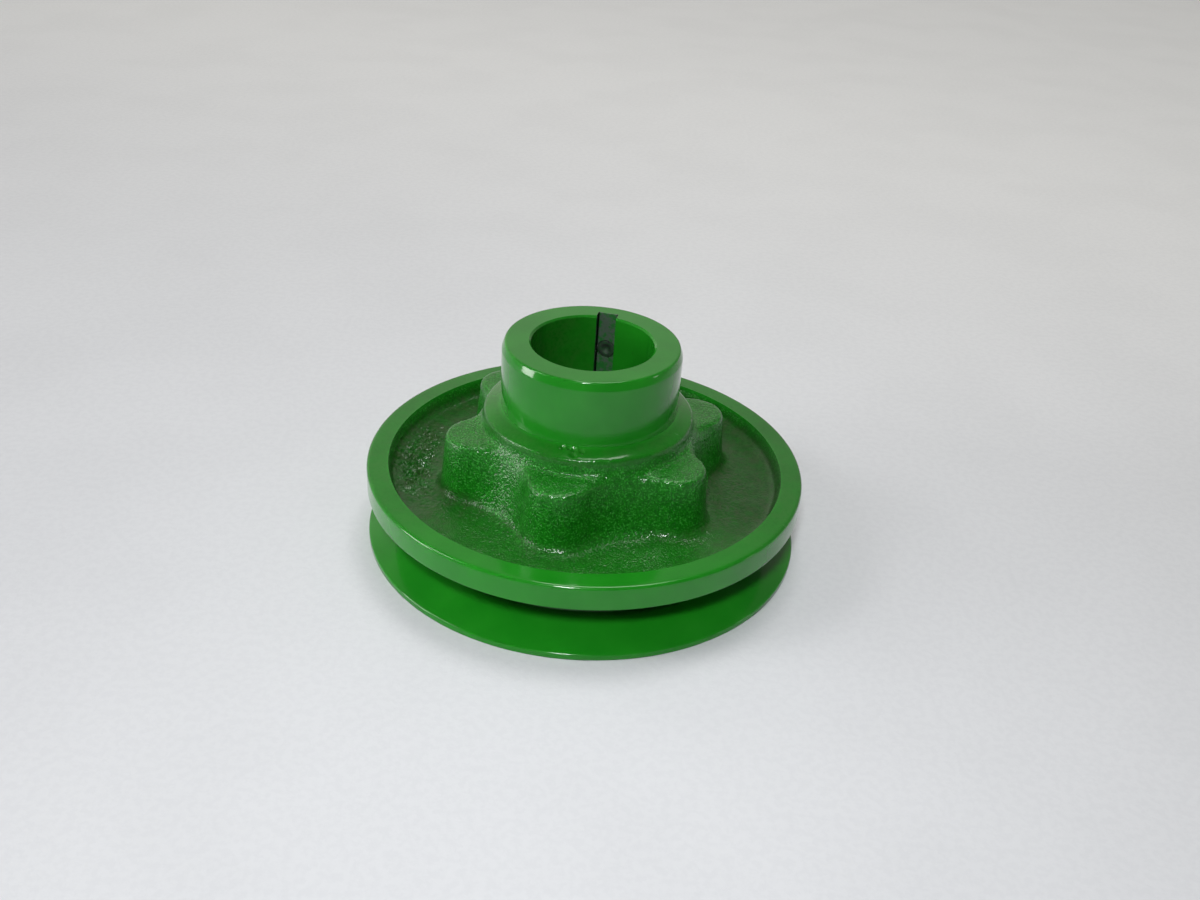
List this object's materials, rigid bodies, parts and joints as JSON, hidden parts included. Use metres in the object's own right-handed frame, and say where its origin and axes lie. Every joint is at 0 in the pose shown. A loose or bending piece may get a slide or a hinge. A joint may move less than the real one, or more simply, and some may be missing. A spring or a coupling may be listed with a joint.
{
  "type": "v belt pulley",
  "caption": "Split V-belt pulley with a long keyed hub, a lobed boss, a recessed web, a lower flange bolted on from beneath, spacing shims and hub set screws.",
  "frame": {"origin": "on the bore's axis, in the plane on which the lower flange's rim and the hub's lower end rest", "axes": "+Z along the bore's axis towards the long hub; +X and +Y radial, with the keyway 78.6 degrees from +X towards +Y"},
  "size_m": [0.1396, 0.1396, 0.0672],
  "materials": {
    "painted_casting": "gloss green enamel, smooth on the machined hub and rim and over rough sand-cast skin on the boss and web",
    "painted_flange": "gloss green enamel on a turned flank and lip, rougher underneath",
    "shim_steel": "thin rolled steel, oiled",
    "plated_screw": "zinc plated, satin",
    "spring_steel": "zinc plated spring steel, slightly darker",
    "black_set_screw": "black oxide, satin"
  },
  "bodies": {
    "pulley": {"hub_casting": "painted_casting", "lower_flange": "painted_flange", "spacing_shim_1": "shim_steel", "spacing_shim_2": "shim_steel", "spacing_shim_3": "shim_steel", "spacing_shim_4": "shim_steel", "flange_screw_1": "plated_screw", "flange_screw_2": "plated_screw", "flange_screw_3": "plated_screw", "flange_screw_4": "plated_screw", "flange_screw_5": "plated_screw", "flange_screw_6": "plated_screw", "lock_washer_1": "spring_steel", "lock_washer_2": "spring_steel", "lock_washer_3": "spring_steel", "lock_washer_4": "spring_steel", "lock_washer_5": "spring_steel", "lock_washer_6": "spring_steel"},
    "keyway_screw": {"keyway_set_screw": "black_set_screw"},
    "side_screw": {"side_set_screw": "black_set_screw"}
  },
  "joints": [
    {"name": "keyway_screw_travel", "type": "slide", "parent": "pulley", "child": "keyway_screw", "axis": [0.1977, 0.9803, 0], "range_m": [-0.0025, 0.0035]},
    {"name": "side_screw_travel", "type": "slide", "parent": "pulley", "child": "side_screw", "axis": [-0.9803, 0.1977, 0], "range_m": [-0.0013, 0.005]}
  ]
}
